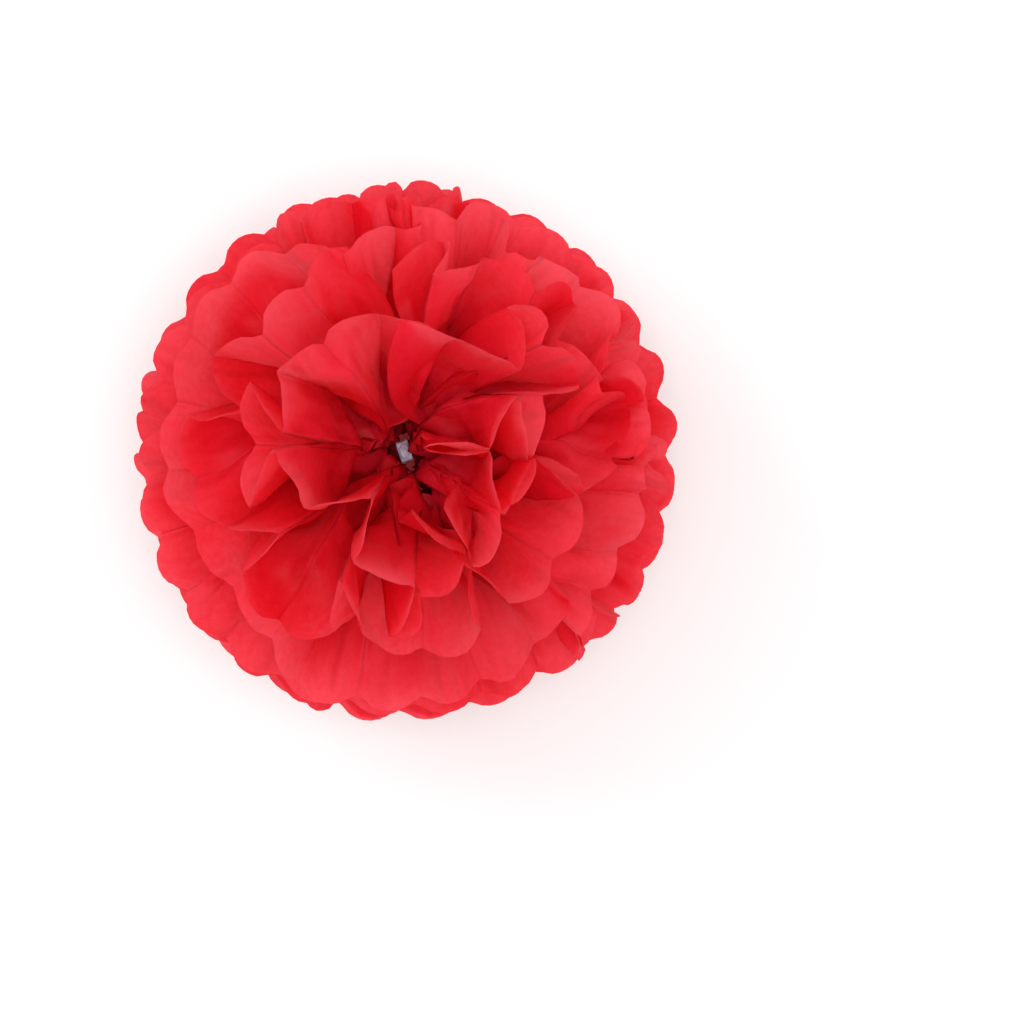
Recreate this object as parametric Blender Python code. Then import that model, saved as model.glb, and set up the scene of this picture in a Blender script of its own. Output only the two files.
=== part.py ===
"""Tissue paper pom pom: ten accordion-pleated sheets, tied across the middle with a ribbon.

Both ends of every sheet fan out into a half disc. Half of the sheets are lifted towards the
upper pole and half towards the lower one, so that the pleated layers make a round flower.
The folds run along X at the tie, the two open seams lie along Y, and the poles are on Z.
"""

import math

import bmesh
import bpy

# Each flat sheet, in metres.
SHEET_LENGTH = 0.300
PANELS = 16
PANEL_WIDTH = 0.032
SCALLOP_RISE = 0.008
SHEET_THICKNESS = 0.00015

# How the stack is lifted: elevations in degrees of the first sheet on each side of the
# waist, and the step from each sheet to the next, at the tie and at the tips.
SHEETS_PER_SIDE = 5
UP_START, UP_START_STEP = 5.0, 14.5
UP_END, UP_END_STEP = 9.0, 17.5
DOWN_START, DOWN_START_STEP = -4.0, -12.0
DOWN_END, DOWN_END_STEP = -6.0, -14.5

# The waist, where the ribbon gathers the stack, and the necks that leave it.
WAIST_HEIGHT = 0.1215
WAIST_WIDTH = 0.014
WAIST_PLEAT = 0.0010
WAIST_SPACING = 0.0008
STRAIGHT_RUN = 0.005
NECK_REACHES = (0.006, 0.016)
PLEAT_GROWTH = 0.36
LIFTED_PLEAT = 0.11

# A fold leaves the tie short of its place in the fan and bends round to it.
FAN_FULL = 1.10
FAN_LAG = 0.54
FAN_EASE = 0.018
FAN_STEPS = 12

# The ribbon that ties it.
RIBBON_WIDTH = 0.0065
RIBBON_THICKNESS = 0.0004
RIBBON_SLACK = 0.0006
RIBBON_CORNER = 0.0012
KNOT_SIZE = (0.0070, 0.0085, 0.0030)

# Rows of points past the neck, and cuts in each panel's end for its scallop.
PETAL_ROWS = 3
EDGE_CUTS = 3
TISSUE_RED = (0.72, 0.012, 0.020, 1.0)
RIBBON_WHITE = (0.86, 0.82, 0.87, 1.0)


def clear_scene():
    for obj in list(bpy.data.objects):
        bpy.data.objects.remove(obj, do_unlink=True)


def make_material(name, colour, roughness):
    material = bpy.data.materials.new(name)
    material.use_nodes = True
    shader = material.node_tree.nodes["Principled BSDF"]
    shader.inputs["Base Color"].default_value = colour
    shader.inputs["Roughness"].default_value = roughness
    shader.inputs["Metallic"].default_value = 0.0
    return material


def add_object(name, bm, material):
    mesh = bpy.data.meshes.new(name)
    bm.to_mesh(mesh)
    bm.free()
    mesh.materials.append(material)
    obj = bpy.data.objects.new(name, mesh)
    bpy.context.scene.collection.objects.link(obj)
    return obj


def add_thickness(obj, thickness):
    wall = obj.modifiers.new("wall", "SOLIDIFY")
    wall.thickness = thickness
    wall.offset = 0.0
    wall.use_even_offset = False
    return wall


def neck_run(start):
    """Length of paper, past the tie, that the straight neck of a sheet takes."""
    return NECK_REACHES[-1] / math.cos(math.radians(start))


def row_stations(start):
    """Distances of a half sheet's rows from the middle: tie, neck, petal rows, and the folds' ends."""
    fold_end = SHEET_LENGTH / 2 - SCALLOP_RISE
    neck = [STRAIGHT_RUN + reach / math.cos(math.radians(start)) for reach in NECK_REACHES]
    petal = [neck[-1] + (fold_end - neck[-1]) * row / PETAL_ROWS for row in range(1, PETAL_ROWS + 1)]
    return [STRAIGHT_RUN] + neck + petal


def flat_sheet(start):
    """The cut sheet, flat: X along the folds, Y counted in panels, each panel's end a scallop."""
    bm = bmesh.new()
    rows = row_stations(start)
    bmesh.ops.create_grid(bm, x_segments=2 * len(rows), y_segments=PANELS, size=1.0)
    stations = [-row for row in reversed(rows)] + [0.0] + rows
    for vert in bm.verts:
        station = stations[round((vert.co.x + 1.0) * len(rows))]
        panel = round((vert.co.y + 1.0) / 2.0 * PANELS)
        vert.co = (station, float(panel), 0.0)
    at_end = rows[-1] - SHEET_THICKNESS
    ends = [edge for edge in bm.edges if all(abs(v.co.x) > at_end for v in edge.verts)]
    bmesh.ops.subdivide_edges(bm, edges=ends, cuts=EDGE_CUTS)
    for vert in bm.verts:
        if abs(vert.co.x) > at_end:
            scallop = SCALLOP_RISE * abs(math.sin(math.pi * vert.co.y))
            vert.co.x += math.copysign(scallop, vert.co.x)
    bmesh.ops.triangulate(bm, faces=bm.faces[:], quad_method="FIXED", ngon_method="BEAUTY")
    return bm


def zigzag(panel):
    """+1 on even folds and -1 on odd ones, straight between them."""
    return 4.0 * abs(panel / 2.0 - math.floor(panel / 2.0) - 0.5) - 1.0


def pleat_depth(reach):
    """Half the zigzag's height where a panel keeps its width: a wide fan leaves a shallow pleat."""
    spacing = (WAIST_WIDTH + math.pi * reach) / PANELS
    full = 0.5 * math.sqrt(max(PANEL_WIDTH**2 - spacing**2, 0.0))
    return min(full, WAIST_PLEAT + PLEAT_GROWTH * reach)


def lifted(run, start, end):
    """(reach, rise) past the tie: a straight neck, then a petal that turns evenly to its end slope."""
    neck = min(run, neck_run(start))
    reach = neck * math.cos(math.radians(start))
    rise = neck * math.sin(math.radians(start))
    petal = run - neck
    whole = SHEET_LENGTH / 2 - STRAIGHT_RUN - neck_run(start)
    for step in range(FAN_STEPS):
        share = (step + 0.5) / FAN_STEPS * petal / whole
        slope = math.radians(start + (end - start) * share)
        reach += math.cos(slope) * petal / FAN_STEPS
        rise += math.sin(slope) * petal / FAN_STEPS
    return reach, rise


def fanned(panel, reach):
    """Where a fold lies, seen from the pole, at a reach from the tie's mouth."""
    place = 2.0 * panel / PANELS - 1.0
    x, y = STRAIGHT_RUN, place * WAIST_WIDTH / 2
    for step in range(FAN_STEPS):
        along = (step + 0.5) / FAN_STEPS * reach
        turn = FAN_FULL - FAN_LAG * math.exp(-along / FAN_EASE)
        x += math.cos(place * turn * math.pi / 2) * reach / FAN_STEPS
        y += math.sin(place * turn * math.pi / 2) * reach / FAN_STEPS
    return x, y


def fold_point(station, panel, layer, start, end):
    """Where a point of the flat sheet lies once the sheet is pleated, tied, fanned and lifted."""
    run = abs(station) - STRAIGHT_RUN
    height = WAIST_HEIGHT + layer * WAIST_SPACING
    if run <= 0.0:
        across = (panel / PANELS - 0.5) * WAIST_WIDTH
        return station, across, height + WAIST_PLEAT * zigzag(panel)
    reach, rise = lifted(run, start, end)
    past_neck = math.copysign(max(abs(rise) - NECK_REACHES[-1], 0.0), rise)
    reach -= LIFTED_PLEAT * past_neck * zigzag(panel)
    x, y = fanned(panel, reach)
    z = height + rise + pleat_depth(reach) * zigzag(panel)
    return math.copysign(x, station), y, max(z, SHEET_THICKNESS / 2)


def tissue_sheet(name, layer, start, end, material):
    bm = flat_sheet(start)
    for vert in bm.verts:
        vert.co = fold_point(vert.co.x, vert.co.y, layer, start, end)
    sheet = add_object(name, bm, material)
    add_thickness(sheet, SHEET_THICKNESS)
    return sheet


def rounded_outline(half_width, half_height, corner, arc_steps=3):
    """Points round a rectangle with rounded corners, in Y and Z, about the waist."""
    points = []
    for quarter in range(4):
        turn = quarter * math.pi / 2
        sign_y = 1.0 if quarter in (0, 3) else -1.0
        sign_z = 1.0 if quarter in (0, 1) else -1.0
        for step in range(arc_steps + 1):
            angle = turn + step / arc_steps * math.pi / 2
            y = sign_y * (half_width - corner) + corner * math.cos(angle)
            z = sign_z * (half_height - corner) + corner * math.sin(angle)
            points.append((y, WAIST_HEIGHT + z))
    return points


def knot_cutter(top):
    """The flat knot that sits on the band, made as a closed lump for a union."""
    bm = bmesh.new()
    bmesh.ops.create_cube(bm, size=1.0)
    bmesh.ops.scale(bm, vec=KNOT_SIZE, verts=bm.verts)
    bmesh.ops.bevel(
        bm, geom=bm.edges[:], offset=0.0011, segments=2, profile=0.5, affect="EDGES", material=-1
    )
    bmesh.ops.translate(bm, vec=(0.0, 0.0, top + KNOT_SIZE[2] / 2 - RIBBON_THICKNESS), verts=bm.verts)
    knot = add_object("knot_shape", bm, bpy.data.materials["ribbon_white"])
    knot.hide_render = True
    knot.display_type = "WIRE"
    return knot


def tie_ribbon(material):
    """A ribbon band round the gathered waist, with its knot on the upper side."""
    stack = WAIST_PLEAT + (SHEETS_PER_SIDE - 0.5) * WAIST_SPACING + SHEET_THICKNESS
    half_width = WAIST_WIDTH / 2 + RIBBON_SLACK + RIBBON_THICKNESS / 2
    half_height = stack + RIBBON_SLACK + RIBBON_THICKNESS / 2
    bm = bmesh.new()
    outline = rounded_outline(half_width, half_height, RIBBON_CORNER)
    ring = [bm.verts.new((-RIBBON_WIDTH / 2, y, z)) for y, z in outline]
    edges = [bm.edges.new((ring[i - 1], ring[i])) for i in range(len(ring))]
    extruded = bmesh.ops.extrude_edge_only(bm, edges=edges)["geom"]
    far_side = [item for item in extruded if isinstance(item, bmesh.types.BMVert)]
    bmesh.ops.translate(bm, vec=(RIBBON_WIDTH, 0.0, 0.0), verts=far_side)
    bmesh.ops.recalc_face_normals(bm, faces=bm.faces[:])
    band = add_object("tie_ribbon", bm, material)
    add_thickness(band, RIBBON_THICKNESS)
    union = band.modifiers.new("knot", "BOOLEAN")
    union.operation = "UNION"
    union.object = knot_cutter(WAIST_HEIGHT + half_height + RIBBON_THICKNESS / 2)
    return band


def main():
    clear_scene()
    red = make_material("tissue_red", TISSUE_RED, 0.85)
    white = make_material("ribbon_white", RIBBON_WHITE, 0.35)
    for number in range(SHEETS_PER_SIDE):
        layer = number + 0.5
        up = (UP_START + number * UP_START_STEP, UP_END + number * UP_END_STEP)
        down = (DOWN_START + number * DOWN_START_STEP, DOWN_END + number * DOWN_END_STEP)
        tissue_sheet(f"tissue_up_{number + 1}", layer, *up, red)
        tissue_sheet(f"tissue_down_{number + 1}", -layer, *down, red)
    tie_ribbon(white)


main()
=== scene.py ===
import math

import bmesh
import bpy
import numpy as np
from bpy.props import FloatProperty, FloatVectorProperty, IntProperty, PointerProperty
from mathutils import Matrix, Vector


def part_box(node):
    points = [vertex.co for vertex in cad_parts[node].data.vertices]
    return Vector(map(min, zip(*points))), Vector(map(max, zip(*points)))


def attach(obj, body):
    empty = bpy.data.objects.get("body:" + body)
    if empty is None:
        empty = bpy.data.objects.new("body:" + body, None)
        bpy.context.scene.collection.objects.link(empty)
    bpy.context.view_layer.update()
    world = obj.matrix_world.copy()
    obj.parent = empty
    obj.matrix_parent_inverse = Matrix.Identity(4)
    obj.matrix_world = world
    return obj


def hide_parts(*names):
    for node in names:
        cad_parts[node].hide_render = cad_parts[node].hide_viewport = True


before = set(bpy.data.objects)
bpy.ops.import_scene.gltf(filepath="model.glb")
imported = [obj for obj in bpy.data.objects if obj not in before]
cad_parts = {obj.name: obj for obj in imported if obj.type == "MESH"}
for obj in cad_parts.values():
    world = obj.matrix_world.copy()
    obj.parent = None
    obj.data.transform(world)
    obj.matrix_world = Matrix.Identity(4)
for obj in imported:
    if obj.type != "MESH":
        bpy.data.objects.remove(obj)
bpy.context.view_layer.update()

bl_info = {
    "name": "Tissue Paper Pom Pom",
    "version": (1, 0, 0),
    "blender": (4, 5, 0),
    "location": "View3D > Sidebar > Pom Pom",
    "description": "Models a fluffed tissue paper pom pom from its flat pleated sheets",
    "category": "Object",
}

# The sheets from the lowest to the highest, and the tie that holds them.
SHEETS_PER_SIDE = 5
SHEET_NODES = [f"tissue_down_{n}" for n in range(SHEETS_PER_SIDE, 0, -1)]
SHEET_NODES += [f"tissue_up_{n}" for n in range(1, SHEETS_PER_SIDE + 1)]
TIE_LOW, TIE_HIGH = (Vector(corner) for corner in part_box("tie_ribbon"))
TIE_HALF_HEIGHT = 0.0057
WAIST_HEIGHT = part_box("tie_ribbon")[0][2] + TIE_HALF_HEIGHT

# The middle of the view from the tie, before the flower's roll.
VIEW_OFFSET = Vector((0.0585, -0.0330, 0.0))

# The lattice of one sheet: columns in each panel, rows in each half.
COLUMNS = 4
ROWS = 24
RELAXING_STEPS = 80

# Relaxing leaves the sheets a few percent small. This lets them out until the flower is nearly as
# wide as the frame, which leaves them a few percent over their cut size.
LET_OUT = 1.06

# How the stack sits in the tie: half the straight run through it, the length from the middle that
# never moves, the room of one sheet, and the share of each fold that is crushed in there: more
# at one seam than at the other, and more still by chance.
STRAIGHT_RUN = 0.005
HELD_RUN = 0.0065
SHEET_SPACING = 0.0008
CRUSHED, CRUSHED_BY_CHANCE = 0.012, 0.006

# How a fan opens: its spread at the tie, the step from each sheet's start to the next in degrees,
# how far along a fold keeps its first direction, and how fast the pleats deepen and flatten.
FIRST_SPREAD = 1.10
FIRST_LIFT, LIFT_STEP = 4.0, 10.0
FIRST_STRETCH = 0.42
PLEAT_GROWTH, PLEAT_FLATTENING = 0.36, 0.45

# What keeps sheets off each other and off the floor while they relax, and once they are crumpled.
SHEET_GAP = 0.0012
NEAR_SHEET = 0.010
FLOOR_GAP = 0.0018
RESTING_GAP = 0.0006
CRUMPLE_HEIGHT = 0.0016

# The tie's grip on the paper beside it, which fades with distance, the stretch over which the
# paper goes from gathered to free, and the share of its speed that a point keeps at each step.
GRIP, GRIP_REACH = 0.4, 0.008
GATHERED_RUN, FREEING_RUN = 0.012, 0.045
SPEED_KEPT = 0.85

# The ribbon band's corner radius, its rows and gathers, and how the knot and its wrap lie on it.
BAND_CORNER = 0.0014
BAND_ROWS = 12
BAND_GATHER = 0.05
KNOT_TURN, WRAP_TURN = -14.0, 38.0
KNOT_PLEATS, WRAP_PLEATS = 9.0, 5.0
WRAP_HALF_WIDTH = 0.0016

# Lift of each sheet's rim in degrees, outermost first, and how much wider the left fan is.
# Then how far a rim wanders and each fold is tousled, in degrees, and how freely the rim winds.
UP_TIPS = (7.0, 17.0, 29.0, 47.0, 62.0)
DOWN_TIPS = (5.0, 20.0, 35.0, 48.0, 62.0)
UNEVEN = (0.06, 0.12, 0.17, 0.21, 0.24)
WANDER = (5.0, 8.0, 10.0, 9.0, 9.0)
SWING = (0.8, 1.0, 1.0, 1.0, 1.0)
LEAN = 4.0
TOUSLE = 5.5

# Plans of the innermost petals: each fold's tip seen from the pole, in petal lengths, from the
# seam at -Y to the seam at +Y, for the right fan and for the left one.
DRAWN_RIMS = {
    3: (
        (
            (0.15, -0.50), (0.30, -0.64), (0.48, -0.58), (0.50, -0.40), (0.46, -0.24), (0.62, -0.30),
            (0.80, -0.32), (0.87, -0.14), (0.74, -0.02), (0.60, 0.04), (0.74, 0.16), (0.80, 0.34),
            (0.66, 0.44), (0.50, 0.34), (0.44, 0.48), (0.44, 0.64), (0.28, 0.66),
        ),
        (
            (0.05, -0.60), (0.00, -0.80), (-0.16, -0.78), (-0.22, -0.60), (-0.30, -0.44), (-0.44, -0.56),
            (-0.62, -0.54), (-0.66, -0.34), (-0.52, -0.20), (-0.62, -0.05), (-0.80, 0.03), (-0.76, 0.22),
            (-0.58, 0.26), (-0.52, 0.42), (-0.46, 0.60), (-0.26, 0.60), (-0.10, 0.72),
        ),
    ),
    4: (
        (
            (0.08, -0.33), (0.20, -0.48), (0.32, -0.38), (0.38, -0.22), (0.25, -0.21), (0.13, -0.17),
            (0.10, -0.05), (0.20, 0.05), (0.32, -0.04), (0.41, -0.16), (0.56, -0.10), (0.72, 0.00),
            (0.79, 0.17), (0.65, 0.22), (0.48, 0.12), (0.36, 0.02), (0.28, 0.18),
        ),
        (
            (0.04, -0.34), (0.10, -0.52), (0.06, -0.68), (-0.06, -0.66), (-0.09, -0.50), (-0.10, -0.34),
            (-0.13, -0.19), (-0.22, -0.04), (-0.34, 0.06), (-0.50, 0.02), (-0.57, 0.16), (-0.42, 0.29),
            (-0.28, 0.20), (-0.13, 0.20), (-0.18, 0.40), (0.04, 0.46), (0.22, 0.38),
        ),
    ),
}


# ---------------------------------------------------------------- settings


class PomSheetSettings(bpy.types.PropertyGroup):
    """The cut sheets and how they are fluffed."""

    panels: IntProperty(name="Panels", description="Accordion panels across a sheet", default=16, min=4)
    panel_width: FloatProperty(
        name="Panel width", description="Width of one accordion panel", default=0.032, unit="LENGTH"
    )
    length: FloatProperty(
        name="Sheet length", description="Along the folds, tip to tip", default=0.300, unit="LENGTH"
    )
    scallop: FloatProperty(
        name="Scallop",
        description="How far each rounded end stands past its folds",
        default=0.008,
        unit="LENGTH",
    )
    waist: FloatProperty(
        name="Waist", description="Width of the stack inside the tie", default=0.0094, unit="LENGTH"
    )
    seed: IntProperty(name="Seed", description="Chooses how the petals are ruffled", default=7)
    front: FloatVectorProperty(
        name="Tissue",
        description="Colour the tissue reflects",
        subtype="COLOR",
        size=3,
        default=(0.87, 0.0120, 0.036),
    )
    glow: FloatVectorProperty(
        name="Glow",
        description="Colour the tissue lets through",
        subtype="COLOR",
        size=3,
        default=(0.97, 0.080, 0.110),
    )


class PomTieSettings(bpy.types.PropertyGroup):
    """The ribbon that gathers the stack."""

    width: FloatProperty(
        name="Width", description="Width of the gathered ribbon", default=0.0065, unit="LENGTH"
    )
    thickness: FloatProperty(
        name="Thickness", description="Thickness of the ribbon", default=0.0003, unit="LENGTH"
    )
    knot_length: FloatProperty(
        name="Knot length", description="Knot along the folds", default=0.0056, unit="LENGTH"
    )
    knot_width: FloatProperty(
        name="Knot width", description="Knot across the folds", default=0.0086, unit="LENGTH"
    )


class PomStageSettings(bpy.types.PropertyGroup):
    """The camera and the light."""

    roll: FloatProperty(
        name="Roll",
        description="Turn of the flower in the view",
        subtype="ANGLE",
        default=math.radians(18.0),
    )
    distance: FloatProperty(
        name="Distance", description="Camera above the waist", default=1.32, unit="LENGTH"
    )
    lens: FloatProperty(name="Lens", description="Focal length in millimetres", default=85.0)
    floor: FloatVectorProperty(
        name="Floor",
        description="Colour of the floor",
        subtype="COLOR",
        size=3,
        default=(0.93, 0.93, 0.93),
    )


# ---------------------------------------------------------------- the fold, fan and fluff


def lattice():
    """Flat coordinates of a sheet's points: rows along the folds, columns across the panels."""
    sheet = bpy.context.scene.pom_sheets
    across = np.arange(sheet.panels * COLUMNS + 1) / COLUMNS
    along = np.arange(-ROWS, ROWS + 1) / ROWS
    fold_end = sheet.length / 2 - sheet.scallop
    ends = fold_end + sheet.scallop * np.abs(np.sin(np.pi * across)) ** 0.8
    flat = np.zeros((len(along), len(across), 3))
    flat[..., 0] = along[:, None] * ends[None, :]
    flat[..., 1] = (across - sheet.panels / 2)[None, :] * sheet.panel_width
    return flat, across


def ruffle(rng, across, wave):
    """A smooth random wave across the panels, about one unit high."""
    total = np.zeros_like(across)
    for length, height in ((wave, 0.7), (wave * 0.55, 0.45), (wave * 2.3, 0.5)):
        total += height * np.sin(2 * math.pi * (across / length + rng.random()))
    return total


def meander(rng, across, crowding, wave):
    """How a rim winds when it has more paper than room: places from -1 to 1, and swings in panels."""
    bend = 2.0 * math.sqrt(max(1.0 - 1.0 / crowding, 0.0))
    pace = 1.0 / (wave * (1.0 + 0.30 * ruffle(rng, across, 5.0)).clip(0.55, 1.7))
    phase = 2 * math.pi * (np.cumsum(pace) / COLUMNS + rng.random())
    heading = bend * (1.0 + 0.15 * ruffle(rng, across, 4.0)) * np.sin(phase)
    place = np.cumsum(np.cos(heading))
    place = 2.0 * (place - place[0]) / (place[-1] - place[0]) - 1.0
    swing = np.cumsum(np.sin(heading)) / COLUMNS
    trend = np.convolve(np.pad(swing, 12, mode="reflect"), np.ones(25) / 25, mode="valid")
    return place, swing - trend


def bunched(rng, across, place, most):
    """The places again, with a few pleats left shut and the rest spread, tightest at the +Y seam."""
    room = np.ones_like(across)
    for first in rng.choice(len(across) // COLUMNS // 2, 3, replace=False):
        shut = np.abs(across - 2 * first - 1 - rng.integers(2)) < 1
        room[shut] = 0.32 + 0.2 * rng.random()
    even = 2 * across / across[-1] - 1
    room *= 1.0 - most * np.exp(-(((1 - even) / 0.4) ** 2))
    room = np.convolve(np.pad(room, 1, mode="edge"), (0.25, 0.5, 0.25), mode="valid")
    steps = np.diff(place, prepend=place[0]) * room
    spread = np.cumsum(steps)
    return 2 * spread / spread[-1] - 1


def direction(turn, lift):
    """Unit vectors from a fan's azimuth and elevation, both in radians."""
    return np.stack([np.cos(turn) * np.cos(lift), np.sin(turn) * np.cos(lift), np.sin(lift)], axis=-1)


def wound_rim(rng, across, level, lift, spread):
    """Where the rim of a sheet points, panel by panel, for a sheet fluffed by chance."""
    sheet = bpy.context.scene.pom_sheets
    span = spread * math.pi * (1.08 + 0.02 * lift)
    petal_turn = sheet.panel_width / (sheet.length / 2)
    mean = np.radians(UP_TIPS[lift] if level > 0 else DOWN_TIPS[lift])
    crowding = max(sheet.panels * petal_turn / (span * math.cos(mean)), 1.02)
    place, swing = meander(rng, across, crowding, 2.5 + 0.5 * lift)
    place = bunched(rng, across, place, 0.30 if level > 0 else 0.10)
    wander = math.radians(WANDER[lift]) * ruffle(rng, across, 3.4)
    slack = petal_turn * swing * SWING[lift]
    lean = math.radians(LEAN) * np.sin(place * span / 2)
    tousled = np.interp(across, np.arange(sheet.panels + 1), rng.normal(size=sheet.panels + 1))
    tip = mean + wander + slack + lean + math.radians(TOUSLE) * tousled
    return direction(place * span / 2, (1.0 if level > 0 else -1.0) * tip)


def drawn_rim(outline, across):
    """Where the rim of a sheet points, from a plan of its folds' tips as seen from the pole."""
    folds = np.array(outline)
    folds = np.concatenate([[2 * folds[0] - folds[1]], folds, [2 * folds[-1] - folds[-2]]])
    first = np.minimum(across.astype(int), len(outline) - 2)
    t = (across - first)[:, None]
    a, b, c, d = (folds[first + step] for step in range(4))
    plan = 0.5 * (2 * b + (c - a) * t + (2 * a - 5 * b + 4 * c - d) * t**2 + (3 * b - a - 3 * c + d) * t**3)
    height = np.sqrt(np.maximum(1.0 - (plan**2).sum(axis=-1, keepdims=True), 0.0))
    return np.concatenate([plan, height], axis=-1)


def fluffed_half(rng, sheet_index, flat, across, side):
    """First guess at one half of a sheet: gathered at the tie, and opened out to its rim."""
    sheet = bpy.context.scene.pom_sheets
    level = sheet_index - SHEETS_PER_SIDE + 0.5
    lift = int(abs(level))
    up = 1.0 if level > 0 else -1.0
    even = 2 * across / sheet.panels - 1
    spread = 1.0 - side * UNEVEN[lift if up > 0 else 0]
    if up > 0 and lift in DRAWN_RIMS:
        tips = drawn_rim(DRAWN_RIMS[lift][0 if side > 0 else 1], across) * (side, 1.0, 1.0)
    else:
        tips = wound_rim(rng, across, level, lift, spread)
    start_lift = up * np.radians(FIRST_LIFT + LIFT_STEP * lift + 1.5 * lift * ruffle(rng, across, 5.0))
    starts = direction(even * spread * FIRST_SPREAD * math.pi / 2, start_lift)
    whole = sheet.length / 2 - STRAIGHT_RUN
    share = np.maximum(np.abs(flat[..., 0]) - STRAIGHT_RUN, 0.0)[..., None] / whole
    path = whole * (2 * share * (1 - share) * FIRST_STRETCH * starts + share**2 * tips)
    path[..., 1] += even * sheet.waist / 2
    along, across_step = np.gradient(path, axis=0), np.gradient(path, axis=1)
    normal = np.cross(along, across_step)
    normal /= np.linalg.norm(normal, axis=-1, keepdims=True) + 1e-12
    spacing = np.linalg.norm(across_step, axis=-1) * COLUMNS
    depth = 0.5 * np.sqrt(np.maximum(sheet.panel_width**2 - spacing**2, 0.0))
    reach = whole * share[..., 0]
    depth = np.minimum(depth, 0.001 + PLEAT_GROWTH * reach)
    depth *= 1.0 - PLEAT_FLATTENING * np.clip((reach - 0.03) / 0.09, 0, 1)
    pleat = 1.0 - 4.0 * np.abs(across / 2 - np.floor(across / 2) - 0.5)
    path -= (pleat * depth)[..., None] * normal
    path[..., 0] = side * (path[..., 0] + STRAIGHT_RUN)
    path[..., 2] += WAIST_HEIGHT + level * SHEET_SPACING
    near = np.abs(flat[..., 0]) <= STRAIGHT_RUN
    path[near, 0] = flat[near, 0]
    return path


def shown_paper(rng, flat, across):
    """Flat coordinates of one sheet, short of the paper that the tie swallows fold by fold."""
    even = 2 * across / bpy.context.scene.pom_sheets.panels - 1
    shown = flat.copy()
    for side in (-1.0, 1.0):
        swallowed = CRUSHED * (1.0 + np.sin(even * math.pi / 2)) / 2
        swallowed = swallowed + CRUSHED_BY_CHANCE * np.abs(ruffle(rng, across, 2.2))
        half = side * flat[:, 0, 0] > 0
        shown[half, :, 0] *= 1.0 - swallowed
    return shown


def fluffed_sheets(flat, across):
    """All sheets, lowest first: their flat coordinates, and the first guess at their shape."""
    rng = np.random.default_rng(bpy.context.scene.pom_sheets.seed)
    flats, stack = [], []
    for index in range(len(SHEET_NODES)):
        shown = shown_paper(rng, flat, across)
        right = fluffed_half(rng, index, shown[ROWS:], across, 1.0)
        left = fluffed_half(rng, index, shown[ROWS::-1], across, -1.0)
        flats.append(shown)
        stack.append(np.concatenate([left[:0:-1], right]))
    return np.array(flats), np.array(stack)


def pairs(di, dj):
    """Slices of the lattice's points and of the points di rows and dj columns on."""
    first = (slice(None), slice(0, -di or None), slice(max(-dj, 0), -dj if dj > 0 else None))
    second = (slice(None), slice(di, None), slice(max(dj, 0), dj if dj < 0 else None))
    return first, second


def sheet_normals(points):
    """Unit normals at every point of every sheet."""
    along = np.gradient(points, axis=1)
    across = np.gradient(points, axis=2)
    normal = np.cross(along, across)
    return normal / (np.linalg.norm(normal, axis=-1, keepdims=True) + 1e-12)


def kept_apart(points, gap, near):
    """Moves that keep each sheet above the one under it, wherever two come close."""
    moves = np.zeros_like(points)
    normals = sheet_normals(points)
    rows, columns = np.arange(points.shape[1]), np.arange(points.shape[2])
    for mine, other, sign in ((slice(1, None), slice(0, -1), 1.0), (slice(0, -1), slice(1, None), -1.0)):
        here = points[mine]
        best = np.full(here.shape[:-1], near)
        offset = np.full(here.shape[:-1], gap)
        push = np.zeros_like(here)
        for di in range(-2, 3):
            take_rows = np.clip(rows + di, 0, rows[-1])
            for dj in range(-4, 5):
                take = np.ix_(np.arange(len(here)), take_rows, np.clip(columns + dj, 0, columns[-1]))
                gap_line = here - points[other][take]
                distance = np.linalg.norm(gap_line, axis=-1)
                closer = distance < best
                facing = normals[other][take]
                height = sign * np.einsum("...k,...k->...", gap_line, facing)
                best = np.where(closer, distance, best)
                offset = np.where(closer, height, offset)
                push = np.where(closer[..., None], facing, push)
        moves[mine] += sign * 0.5 * np.maximum(gap - offset, 0.0)[..., None] * push
    return moves


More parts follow.
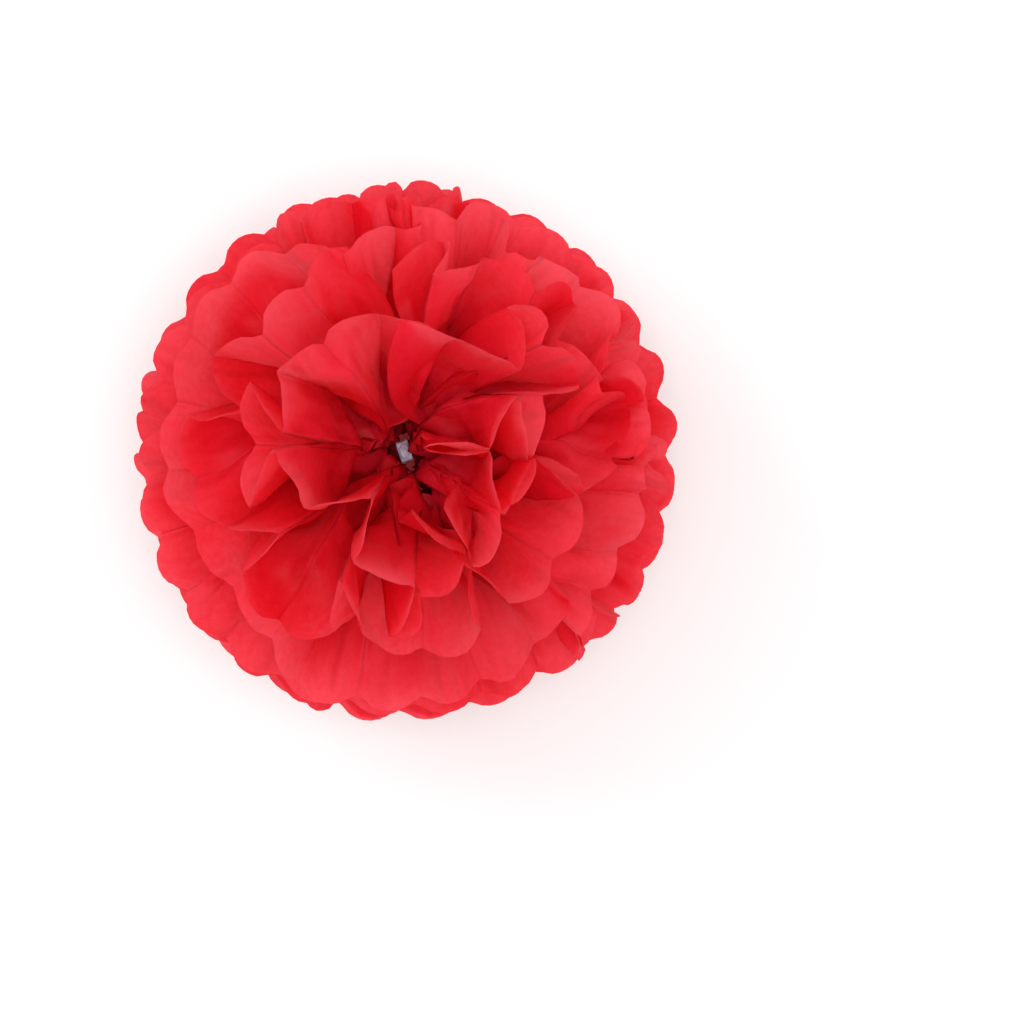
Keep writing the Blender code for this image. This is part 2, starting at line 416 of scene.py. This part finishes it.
def settle(points, flat, steps):
    """Relaxes the sheets towards their cut size, limp between folds and clear of each other."""
    goal = points.copy()
    last = points.copy()
    out = np.abs(flat[..., 0])
    held = out <= HELD_RUN
    grip = GRIP * np.exp(-np.maximum(out - 0.006, 0.0) / GRIP_REACH)[..., None]
    links = []
    columns = np.arange(flat.shape[2])
    for di, dj in ((0, 1), (1, 0), (1, 1), (1, -1), (2, 0), (0, 2)):
        first, second = pairs(di, dj)
        rest = np.linalg.norm(flat[second] - flat[first], axis=-1)
        if dj:
            gathered = np.linalg.norm(goal[second] - goal[first], axis=-1)
            free = np.clip(((out[first] + out[second]) / 2 - GATHERED_RUN) / FREEING_RUN, 0, 1)
            rest = gathered + (rest - gathered) * free
        if di < 2 and dj < 2:
            links.append((first, second, rest, False, 1.0))
        else:
            across_fold = (columns[1:-1] % COLUMNS == 0) if dj else np.array([False])
            least = np.where(across_fold, 0.30, 0.97 if di else 0.80)
            links.append((first, second, least * rest, True, 0.35))
    levels = range(-SHEETS_PER_SIDE, SHEETS_PER_SIDE)
    limpness = np.array([2.2 if level in DRAWN_RIMS else 1.0 for level in levels])
    at_fold = np.where(columns % COLUMNS == 0, 0.45 * np.clip((out - 0.045) / 0.06, 0, 1), 1.0)
    soft = limpness[:, None, None, None] * at_fold[..., None] * (1 - grip)

    for step in range(steps):
        pull = 0.05 * (1.0 - step / steps) ** 2 + 0.0015
        speed = SPEED_KEPT * (points - last)
        last = points
        points = points + speed * (1 - grip) + (pull + grip) * (goal - points)
        for _ in range(2):
            total = np.zeros_like(points)
            count = np.full(points.shape[:-1], 1.0)
            for first, second, rest, bend, strength in links:
                line = points[second] - points[first]
                length = np.linalg.norm(line, axis=-1) + 1e-9
                error = length - rest
                if bend:
                    error = np.minimum(error, 0.0)
                move = (0.5 * strength * error / length)[..., None] * line
                total[first] += move
                total[second] -= move
                if not bend:
                    count[first] += 1.0
                    count[second] += 1.0
            points = points + 1.6 * total / (0.5 * count)[..., None]
        limp = 0.14 * (1.0 - step / steps) + 0.02
        middle = (points[:, :, :-2] + points[:, :, 2:]) / 2
        points[:, :, 1:-1] += limp * soft[:, :, 1:-1] * (middle - points[:, :, 1:-1])
        middle = (points[:, :-2] + points[:, 2:]) / 2
        points[:, 1:-1] += 0.5 * limp * soft[:, 1:-1] * (middle - points[:, 1:-1])
        if step % 3 == 2:
            points = points + kept_apart(points, SHEET_GAP, NEAR_SHEET)
        points[..., 2] = np.maximum(points[..., 2], FLOOR_GAP)
        points[held] = goal[held]
    points[..., :2] *= LET_OUT
    points[..., 2] += (LET_OUT - 1.0) * np.maximum(points[..., 2] - WAIST_HEIGHT, 0.0)
    return points


def finer(points, axis):
    """Twice the points along one axis, each new one on a smooth curve through its neighbours."""
    points = np.moveaxis(points, axis, 0)
    padded = np.concatenate([[2 * points[0] - points[1]], points, [2 * points[-1] - points[-2]]])
    between = (9 * (padded[1:-2] + padded[2:-1]) - padded[:-3] - padded[3:]) / 16
    out = np.empty((2 * len(points) - 1, *points.shape[1:]))
    out[0::2], out[1::2] = points, between
    return np.moveaxis(out, 0, axis)


def crumpled(rng, points, flat, most):
    """The sheet with soft dents and pressed ridges, which grow from the tie to the rim."""
    height = np.zeros(points.shape[:-1])
    for _ in range(30):
        turn, wave = math.pi / 2 + 0.55 * rng.normal(), 0.009 + 0.022 * rng.random()
        line = (flat[..., 0] * math.cos(turn) + flat[..., 1] * math.sin(turn)) / wave
        beside = flat[..., 0] * math.sin(turn) - flat[..., 1] * math.cos(turn)
        bend = 0.6 * np.sin(2 * math.pi * beside / 0.075)
        ridge = 1.0 - np.abs(np.sin(math.pi * (line + rng.random()) + bend))
        askew = flat[..., 0] * rng.random() + flat[..., 1] * rng.random()
        patch = np.sin(2 * math.pi * askew / 0.16 + 6 * rng.random())
        height += (ridge - 0.36) * np.maximum(patch, 0.0) * wave
    height /= np.abs(height).max()
    grow = np.clip((np.abs(flat[..., 0]) - 0.02) / 0.08, 0, 1)
    moved = points + (most * grow * height)[..., None] * sheet_normals(points[None])[0]
    moved[..., 2] = np.maximum(moved[..., 2], RESTING_GAP)
    return moved


# ---------------------------------------------------------------- meshes and materials


def new_piece(name, bm, material):
    """An object at the origin that takes the bmesh as its mesh."""
    mesh = bpy.data.meshes.new(name)
    bm.to_mesh(mesh)
    bm.free()
    mesh.materials.append(material)
    piece = bpy.data.objects.new(name, mesh)
    bpy.context.scene.collection.objects.link(piece)
    return piece


def sheet_mesh(points, number):
    """A sheet as a grid, moved onto its folded shape, with its flat shape as UV map."""
    rows, columns = points.shape[:2]
    bm = bmesh.new()
    bmesh.ops.create_grid(bm, x_segments=rows - 1, y_segments=columns - 1, size=1.0)
    uv = bm.loops.layers.uv.new("flat")
    sheet_number = bm.verts.layers.float.new("sheet_number")
    place = {}
    for vert in bm.verts:
        row = round((vert.co.x + 1) / 2 * (rows - 1))
        column = round((vert.co.y + 1) / 2 * (columns - 1))
        place[vert] = (row, column)
    for face in bm.faces:
        for loop in face.loops:
            row, column = place[loop.vert]
            loop[uv].uv = (row / (rows - 1), column / (columns - 1))
    for vert in bm.verts:
        vert.co = points[place[vert]]
        vert[sheet_number] = number
    for face in bm.faces:
        face.smooth = True
    return bm


def node(tree, kind, **values):
    """A shader node with its settings and unlinked inputs filled in."""
    made = tree.nodes.new("ShaderNode" + kind)
    for name, value in values.items():
        if name in made.inputs:
            made.inputs[name].default_value = value
        else:
            setattr(made, name, value)
    return made


def math_node(tree, operation, first, second=0.0, third=0.0):
    """The output of one Math node, whose inputs are numbers or other nodes' outputs."""
    made = tree.nodes.new("ShaderNodeMath")
    made.operation = operation
    for socket, value in zip(made.inputs, (first, second, third)):
        if isinstance(value, (int, float)):
            socket.default_value = value
        else:
            tree.links.new(value, socket)
    return made.outputs[0]


def tissue_material():
    """Red tissue: cloudy translucent fibre with pale pink blotches that are partly a painted glow, soft
    crumples, and the pressed line of each fold.
    """
    sheet = bpy.context.scene.pom_sheets
    material = bpy.data.materials.new("red_tissue")
    material.use_nodes = True
    tree = material.node_tree
    tree.nodes.clear()
    link = tree.links.new
    flat = node(tree, "UVMap", uv_map="flat")
    number = node(tree, "Attribute", attribute_name="sheet_number")
    split = node(tree, "SeparateXYZ")
    link(flat.outputs["UV"], split.inputs[0])
    along = math_node(tree, "MULTIPLY_ADD", number.outputs["Fac"], 0.83, split.outputs["X"])
    place = node(tree, "CombineXYZ")
    link(math_node(tree, "MULTIPLY", along, sheet.length), place.inputs["X"])
    link(math_node(tree, "MULTIPLY", split.outputs["Y"], sheet.panels * sheet.panel_width), place.inputs["Y"])

    drawn_out = node(tree, "Mapping", Scale=(0.55, 1.7, 1.0))
    link(place.outputs[0], drawn_out.inputs["Vector"])

    def grain(kind, scale, where=place, **values):
        made = node(tree, kind, Scale=scale, **values)
        link(where.outputs[0], made.inputs["Vector"])
        return made

    cloud = grain("TexNoise", 260.0, noise_dimensions="2D", Detail=3.0, Roughness=0.62)
    blotch_with_painted_glow = grain("TexNoise", 14.0, noise_dimensions="2D", Detail=1.0)
    swell = grain("TexNoise", 60.0, drawn_out, noise_dimensions="2D", Detail=0.0)
    crumple = grain(
        "TexNoise",
        44.0,
        drawn_out,
        noise_dimensions="2D",
        noise_type="RIDGED_MULTIFRACTAL",
        Detail=2.5,
        Lacunarity=2.3,
    )

    panel = math_node(tree, "FRACT", math_node(tree, "MULTIPLY", split.outputs["Y"], float(sheet.panels)))
    inside = math_node(tree, "PINGPONG", panel, 0.5)
    fold = math_node(tree, "SMOOTH_MIN", math_node(tree, "MULTIPLY", inside, 30.0), 1.0, 0.3)
    height = math_node(tree, "MULTIPLY_ADD", crumple.outputs["Fac"], 0.60, swell.outputs["Fac"])
    height = math_node(tree, "MULTIPLY_ADD", fold, 0.12, height)
    bump = node(tree, "Bump", Strength=1.0, Distance=0.0042)
    link(height, bump.inputs["Height"])

    # Where this runs high the tissue turns paler and pinker: partly random fibre and blotch tone, partly a
    # painted glow of light through thin paper.
    thin_paper_and_painted_glow = math_node(tree, "MULTIPLY", blotch_with_painted_glow.outputs["Fac"], 0.72)
    thin_paper_and_painted_glow = math_node(tree, "MULTIPLY_ADD", cloud.outputs["Fac"], 0.28, thin_paper_and_painted_glow)

    # Each ramp runs from a deeper red to a paler, pinker red; the pale end is partly painted glow standing in
    # for light let through the paper.
    def tones_with_painted_glow(colour, dark, light):
        ramp = node(tree, "ValToRGB")
        ramp.color_ramp.elements[0].position = 0.32
        ramp.color_ramp.elements[0].color = (*(share * c for share, c in zip(dark, colour)), 1.0)
        ramp.color_ramp.elements[1].position = 0.70
        ramp.color_ramp.elements[1].color = (*(share * c for share, c in zip(light, colour)), 1.0)
        link(thin_paper_and_painted_glow, ramp.inputs[0])
        return ramp.outputs[0]

    paper = node(tree, "BsdfPrincipled", Roughness=0.55)
    paper.inputs["Specular IOR Level"].default_value = 0.30
    through = node(tree, "BsdfTranslucent")
    link(tones_with_painted_glow(sheet.front, (0.96, 0.6, 0.65), (1.06, 1.7, 1.6)), paper.inputs["Base Color"])
    link(tones_with_painted_glow(sheet.glow, (0.95, 0.6, 0.65), (1.0, 1.9, 1.7)), through.inputs["Color"])
    link(bump.outputs[0], paper.inputs["Normal"])
    link(bump.outputs[0], through.inputs["Normal"])
    mix = node(tree, "MixShader")
    mix.inputs[0].default_value = 0.55
    link(paper.outputs[0], mix.inputs[1])
    link(through.outputs[0], mix.inputs[2])
    out = node(tree, "OutputMaterial")
    link(mix.outputs[0], out.inputs["Surface"])
    return material


def satin_material():
    """White satin with a cool sheen and fine lengthwise threads."""
    material = bpy.data.materials.new("white_satin")
    material.use_nodes = True
    tree = material.node_tree
    link = tree.links.new
    satin = tree.nodes["Principled BSDF"]
    satin.inputs["Roughness"].default_value = 0.32
    satin.inputs["Anisotropic"].default_value = 0.5
    satin.inputs["Sheen Weight"].default_value = 0.25
    satin.inputs["Sheen Tint"].default_value = (0.85, 0.75, 1.0, 1.0)
    where = node(tree, "TexCoord")
    stretch = node(tree, "Mapping", Scale=(2600.0, 300.0, 300.0))
    link(where.outputs["Object"], stretch.inputs["Vector"])
    threads = node(tree, "TexNoise", noise_dimensions="3D", Scale=1.0, Detail=2.0)
    link(stretch.outputs[0], threads.inputs["Vector"])
    tone = node(tree, "ValToRGB")
    tone.color_ramp.elements[0].position = 0.35
    tone.color_ramp.elements[0].color = (0.74, 0.55, 0.88, 1.0)
    tone.color_ramp.elements[1].position = 0.65
    tone.color_ramp.elements[1].color = (1.0, 0.93, 1.0, 1.0)
    link(threads.outputs["Fac"], tone.inputs[0])
    link(tone.outputs[0], satin.inputs["Base Color"])
    bump = node(tree, "Bump", Strength=0.5, Distance=0.0002)
    link(threads.outputs["Fac"], bump.inputs["Height"])
    link(bump.outputs[0], satin.inputs["Normal"])
    return material


class POM_OT_tissue_sheets(bpy.types.Operator):
    """Fold, tie, fan and fluff the ten tissue sheets"""

    bl_idname = "pom.tissue_sheets"
    bl_label = "Tissue Sheets"

    def execute(self, context):
        sheet = context.scene.pom_sheets
        flat, across = lattice()
        flats, points = fluffed_sheets(flat, across)
        points = settle(points, flats, RELAXING_STEPS)
        flat = finer(finer(flat, 0), 1)
        rng = np.random.default_rng(sheet.seed + 1)
        material = tissue_material()
        for number, (node_name, shape) in enumerate(zip(SHEET_NODES, points)):
            shape = crumpled(rng, finer(finer(shape, 0), 1), flat, CRUMPLE_HEIGHT)
            piece = new_piece(node_name.replace("tissue", "petals"), sheet_mesh(shape, number), material)
            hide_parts(node_name)
            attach(piece, "root")
        return {"FINISHED"}


def ribbon_path(half_width, half_height, corner, steps):
    """Points round a rounded rectangle in Y and Z, anticlockwise from the middle of the right side."""
    points = []
    for quarter, (sign_y, sign_z) in enumerate(((1, 1), (-1, 1), (-1, -1), (1, -1))):
        for step in range(steps + 1):
            angle = (quarter + step / steps) * math.pi / 2
            y = sign_y * (half_width - corner) + corner * math.cos(angle)
            z = sign_z * (half_height - corner) + corner * math.sin(angle)
            points.append((y, z))
    return points


def ribbon_band(bm, path, width, rows, gather):
    """A closed band swept along X, with lengthwise gathers that stand in and out."""
    rings = []
    for row in range(rows + 1):
        across = row / rows
        out = 1.0 + gather * math.sin(across * 3 * math.pi)
        rings.append([bm.verts.new(((across - 0.5) * width, y * out, z * out)) for y, z in path])
    for pair in zip(rings, rings[1:]):
        edges = []
        for ring in pair:
            ends = zip(ring, ring[1:] + ring[:1])
            edges += [bm.edges.get((a, b)) or bm.edges.new((a, b)) for a, b in ends]
        bmesh.ops.bridge_loops(bm, edges=edges)


def knot_pillow(bm, size, turns):
    """The knot's own lump: a flattened ball with soft pleats that cross it on the skew."""
    made = bmesh.ops.create_uvsphere(bm, u_segments=32, v_segments=20, radius=1.0)["verts"]
    for vert in made:
        skew = vert.co.x * 0.8 + vert.co.y * 0.6
        pleat = 1.0 + 0.16 * math.sin(skew * turns) * max(vert.co.z, 0.0)
        square = (abs(vert.co.x) ** 3 + abs(vert.co.y) ** 3 + abs(vert.co.z) ** 3) ** (-1 / 3)
        grow = 0.55 + 0.45 * square
        vert.co = Vector((vert.co.x * size[0], vert.co.y * size[1], vert.co.z * size[2])) * grow * pleat
    return made


class POM_OT_tie_ribbon(bpy.types.Operator):
    """Tie a satin ribbon round the waist, with a flat knot on top"""

    bl_idname = "pom.tie_ribbon"
    bl_label = "Tie Ribbon"

    def execute(self, context):
        tie = context.scene.pom_tie
        satin = satin_material()
        middle = Vector((0.0, 0.0, WAIST_HEIGHT))
        half_width = context.scene.pom_sheets.waist / 2 + 2 * tie.thickness
        half_height = WAIST_HEIGHT - TIE_LOW.z - tie.thickness
        bm = bmesh.new()
        path = ribbon_path(half_width, half_height, BAND_CORNER, 5)
        ribbon_band(bm, path, tie.width, BAND_ROWS, BAND_GATHER)
        bmesh.ops.translate(bm, verts=bm.verts, vec=middle)
        bmesh.ops.recalc_face_normals(bm, faces=bm.faces[:])
        bmesh.ops.solidify(bm, geom=bm.faces[:], thickness=-tie.thickness)
        knot_height = (TIE_HIGH.z - WAIST_HEIGHT - half_height) / 2
        knot = knot_pillow(bm, (tie.knot_length / 2, tie.knot_width / 2, knot_height), KNOT_PLEATS)
        bmesh.ops.rotate(bm, verts=knot, matrix=Matrix.Rotation(math.radians(KNOT_TURN), 3, "Z"))
        bmesh.ops.translate(bm, verts=knot, vec=middle + Vector((0, 0, half_height + 0.75 * knot_height)))
        wrap_size = (WRAP_HALF_WIDTH, tie.knot_width * 0.40, knot_height * 1.05)
        wrap = knot_pillow(bm, wrap_size, WRAP_PLEATS)
        bmesh.ops.rotate(bm, verts=wrap, matrix=Matrix.Rotation(math.radians(WRAP_TURN), 3, "Z"))
        bmesh.ops.translate(bm, verts=wrap, vec=middle + Vector((0, 0, half_height + 0.95 * knot_height)))
        for face in bm.faces:
            face.smooth = True
        piece = new_piece("satin_tie", bm, satin)
        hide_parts("tie_ribbon")
        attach(piece, "root")
        return {"FINISHED"}


class POM_OT_stage(bpy.types.Operator):
    """Set up the floor, the light and the camera"""

    bl_idname = "pom.stage"
    bl_label = "Stage"

    def execute(self, context):
        stage = context.scene.pom_stage
        bm = bmesh.new()
        bmesh.ops.create_grid(bm, x_segments=1, y_segments=1, size=6.0)
        material = bpy.data.materials.new("floor")
        material.use_nodes = True
        shader = material.node_tree.nodes["Principled BSDF"]
        shader.inputs["Base Color"].default_value = (*stage.floor, 1.0)
        shader.inputs["Roughness"].default_value = 0.9
        new_piece("floor", bm, material)
        for name, place, size, power in (
            ("key_light", (-0.9, 1.1, 1.5), 1.0, 8.0),
            ("fill_light", (1.3, -0.7, 1.2), 1.4, 3.0),
            ("front_light", (0.15, -0.15, 2.3), 0.8, 15.0),
        ):
            light = bpy.data.lights.new(name, "AREA")
            light.shape = "DISK"
            light.size = size
            light.energy = power
            lamp = bpy.data.objects.new(name, light)
            lamp.location = place
            lamp.rotation_euler = (Vector((0, 0, 0.12)) - lamp.location).to_track_quat("-Z", "Y").to_euler()
            context.scene.collection.objects.link(lamp)
        world = bpy.data.worlds.new("studio")
        world.use_nodes = True
        world.node_tree.nodes["Background"].inputs[0].default_value = (1.0, 1.0, 1.0, 1.0)
        world.node_tree.nodes["Background"].inputs[1].default_value = 0.82
        context.scene.world = world
        context.scene.view_settings.view_transform = "Standard"
        camera = bpy.data.cameras.new("camera")
        camera.lens = stage.lens
        camera.clip_end = 20.0
        seat = bpy.data.objects.new("camera", camera)
        turn = Matrix.Rotation(-stage.roll, 3, "Z")
        seat.location = turn @ VIEW_OFFSET + Vector((0, 0, WAIST_HEIGHT + stage.distance))
        seat.rotation_euler = (0.0, 0.0, -stage.roll)
        context.scene.collection.objects.link(seat)
        context.scene.camera = seat
        return {"FINISHED"}


class POM_PT_panel(bpy.types.Panel):
    """Lists the steps that build the pom pom"""

    bl_idname = "POM_PT_panel"
    bl_label = "Tissue Pom Pom"
    bl_space_type = "VIEW_3D"
    bl_region_type = "UI"
    bl_category = "Pom Pom"

    def draw(self, context):
        for operator in (POM_OT_tissue_sheets, POM_OT_tie_ribbon, POM_OT_stage):
            self.layout.operator(operator.bl_idname)


CLASSES = (
    PomSheetSettings,
    PomTieSettings,
    PomStageSettings,
    POM_OT_tissue_sheets,
    POM_OT_tie_ribbon,
    POM_OT_stage,
    POM_PT_panel,
)


def register():
    for cls in CLASSES:
        bpy.utils.register_class(cls)
    bpy.types.Scene.pom_sheets = PointerProperty(type=PomSheetSettings)
    bpy.types.Scene.pom_tie = PointerProperty(type=PomTieSettings)
    bpy.types.Scene.pom_stage = PointerProperty(type=PomStageSettings)


def unregister():
    del bpy.types.Scene.pom_stage
    del bpy.types.Scene.pom_tie
    del bpy.types.Scene.pom_sheets
    for cls in reversed(CLASSES):
        bpy.utils.unregister_class(cls)


def main():
    register()
    bpy.ops.pom.tissue_sheets()
    bpy.ops.pom.tie_ribbon()
    bpy.ops.pom.stage()


if __name__ == "__main__":
    main()
